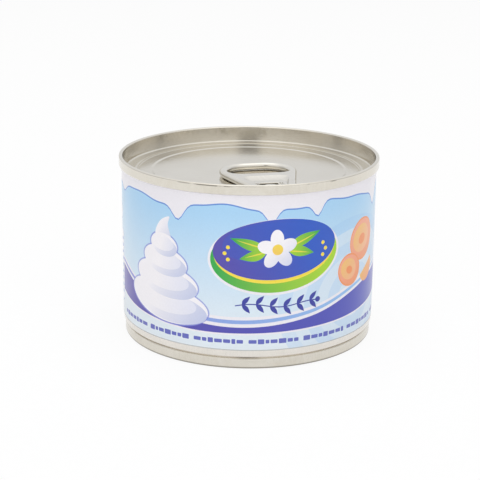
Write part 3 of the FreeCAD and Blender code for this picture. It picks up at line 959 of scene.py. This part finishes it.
stageSet = {
    "tableSize": 2.4, "tableParts": 8, "paper": ("#f1f1f1", "#f6f6f6"), "fibres": 900.0,
    "tableSeen": 0.9,       # how much of the paper's white is its own glow where it is looked at
    "tableMirrored": 0.55,  # the same where metal and varnish mirror it, so that they show the can's shadow
    "softboxes": {          # where each diffuser is, its size and its radiance
        "softboxLeft": ((-0.62, -0.72, 0.46), (0.95, 0.9), 1.0),
        "softboxRight": ((0.62, -0.72, 0.46), (0.95, 0.9), 1.0),
        "softboxTop": ((0, 0.1, 1.1), (1.1, 1.0), 1.8),
    },
    "room": 0.5,            # what the pale room adds to matt surfaces
    "roomLow": 0.86,        # what it shows of itself in metal and varnish, low down and overhead
    "roomHigh": 1.22,
    "overhead": 0.45,       # the diffuser straight above adds this
    "gap": 0.6,             # how much darker it is in front, between the light stands
    "corner": 0.28,         # and at its sides
    "tintBack": (0.93, 0.94, 0.96, 1), "tintFront": (1.0, 0.995, 0.985, 1),
}
white = (1, 1, 1, 1)


def makeTable():
    # white paper sweep: a soft shadow stays under the can
    half, count = stageSet["tableSize"] / 2, stageSet["tableParts"]
    places = [-half + 2 * half * k / count for k in range(count + 1)]
    points = [(x, y, 0) for y in places for x in places]
    row = count + 1
    quads = [(j * row + i, j * row + i + 1, (j + 1) * row + i + 1, (j + 1) * row + i)
             for j in range(count) for i in range(count)]
    material, add = newMaterial("whitePaperSweep")
    fibre = add("TexNoise", {"Scale": stageSet["fibres"], "Detail": 2.0})
    dim, bright = (hexLinear(code) for code in stageSet["paper"])
    paper = add("ValToRGB", {"Fac": fibre}, [(0.3, dim), (0.7, bright)])
    matt = add("BsdfDiffuse", {"Color": paper})
    glow = add("Emission", {"Color": white, "Strength": 1.0})
    path = add("LightPath").outputs
    seen = add("Math", {0: path["Is Camera Ray"], 1: stageSet["tableSeen"]}, operation="MULTIPLY")
    share = add("Math", {
        0: path["Is Glossy Ray"], 1: stageSet["tableMirrored"], 2: seen}, operation="MULTIPLY_ADD")
    mixed = add("MixShader", {0: share, 1: matt, 2: glow})
    add("OutputMaterial", {"Surface": mixed})
    table = makeObject("paperSweep", (points, quads), material)


def addSoftbox(name, place, size, level):
    data = bpy.data.lights.new(name, "AREA")
    data.shape = "RECTANGLE"
    data.size, data.size_y = size
    data.energy = level * math.pi * data.size * data.size_y    # watts that give the diffuser this radiance
    lamp = bpy.data.objects.new(name, data)
    bpy.context.collection.objects.link(lamp)
    lamp.location = place
    middle = Vector((0, 0, canHeight * mm / 2))
    lamp.rotation_euler = (middle - Vector(place)).to_track_quat("-Z", "Y").to_euler()
    lamp.visible_glossy = False    # metal mirrors the pale room instead, and its own diffusers


def makeRoom():
    # a pale room, brighter overhead; in front, between the light stands, a darker gap, and dimmer sides
    world = bpy.data.worlds.new("whiteRoom")
    bpy.context.scene.world = world
    world.use_nodes = True
    world.node_tree.nodes.clear()
    add = partial(addNode, world.node_tree)
    way = add("SeparateXYZ", {"Vector": add("TexCoord").outputs["Generated"]}).outputs
    aside = add("Math", {0: way["X"]}, operation="ABSOLUTE")
    ranges = {
        "front": (way["Y"], -0.35, -0.05, 1.0, 0.0),
        "low": (way["Z"], 0.42, 0.66, 1.0, 0.0),
        "gap": (aside, 0.1, 0.22, stageSet["gap"], 0.0),
        "corner": (aside, 0.75, 1.0, 0.0, stageSet["corner"]),
        "rise": (way["Z"], 0.3, 1.0, stageSet["roomLow"], stageSet["roomHigh"]),
        "overhead": (way["Z"], 0.86, 0.94, 0.0, stageSet["overhead"]),
    }
    part = {}
    for key, (value, start, end, first, last) in ranges.items():
        part[key] = add("MapRange", {
            "Value": value, "From Min": start, "From Max": end, "To Min": first, "To Max": last})
    gap = add("Math", {0: part["gap"], 1: part["low"]}, operation="MULTIPLY")
    gap = add("Math", {0: gap, 1: part["front"]}, operation="MULTIPLY")
    dim = add("Math", {0: 1.0, 1: gap}, operation="SUBTRACT")
    dim = add("Math", {0: dim, 1: part["corner"]}, operation="SUBTRACT")
    level = add("Math", {0: part["rise"], 1: dim, 2: part["overhead"]}, operation="MULTIPLY_ADD")
    tint = add("Mix", {"Factor": part["front"], "A": stageSet["tintBack"], "B": stageSet["tintFront"]},
        data_type="RGBA").outputs["Result"]
    path = add("LightPath").outputs
    onMatt = add("Background", {"Color": white, "Strength": stageSet["room"]})
    onGloss = add("Background", {"Color": tint, "Strength": level})
    seen = add("Background", {"Color": white, "Strength": 1.0})
    mirrored = add("MixShader", {0: path["Is Glossy Ray"], 1: onMatt, 2: onGloss})
    shown = add("MixShader", {0: path["Is Camera Ray"], 1: mirrored, 2: seen})
    add("OutputWorld", {"Surface": shown})


cameraSet = {
    "place": (0, -0.3877, 0.14305), "pitch": 0.2934, "yaw": -0.0062, "roll": 0.0086,
    "lens": 103.575, "sensor": 36, "near": 0.01,
}


def makeCamera():
    data = bpy.data.cameras.new("camera")
    data.lens, data.sensor_width, data.clip_start = cameraSet["lens"], cameraSet["sensor"], cameraSet["near"]
    camera = bpy.data.objects.new("camera", data)
    bpy.context.collection.objects.link(camera)
    p, w, r = cameraSet["pitch"], cameraSet["yaw"], cameraSet["roll"]
    ahead = Vector((math.sin(w) * math.cos(p), math.cos(w) * math.cos(p), -math.sin(p)))
    side = Vector((math.cos(w), -math.sin(w), 0))
    up = side.cross(ahead)
    right, top = math.cos(r) * side + math.sin(r) * up, -math.sin(r) * side + math.cos(r) * up
    turn = Matrix((right, top, -ahead)).transposed().to_4x4()
    camera.matrix_world = Matrix.Translation(cameraSet["place"]) @ turn
    return camera


makeTable()
for name, placing in stageSet["softboxes"].items():
    addSoftbox(name, *placing)
makeRoom()
scene = bpy.context.scene
scene.camera = makeCamera()
scene.view_settings.view_transform = "Standard"
print("table, lights and camera set")

bpy.context.view_layer.update()
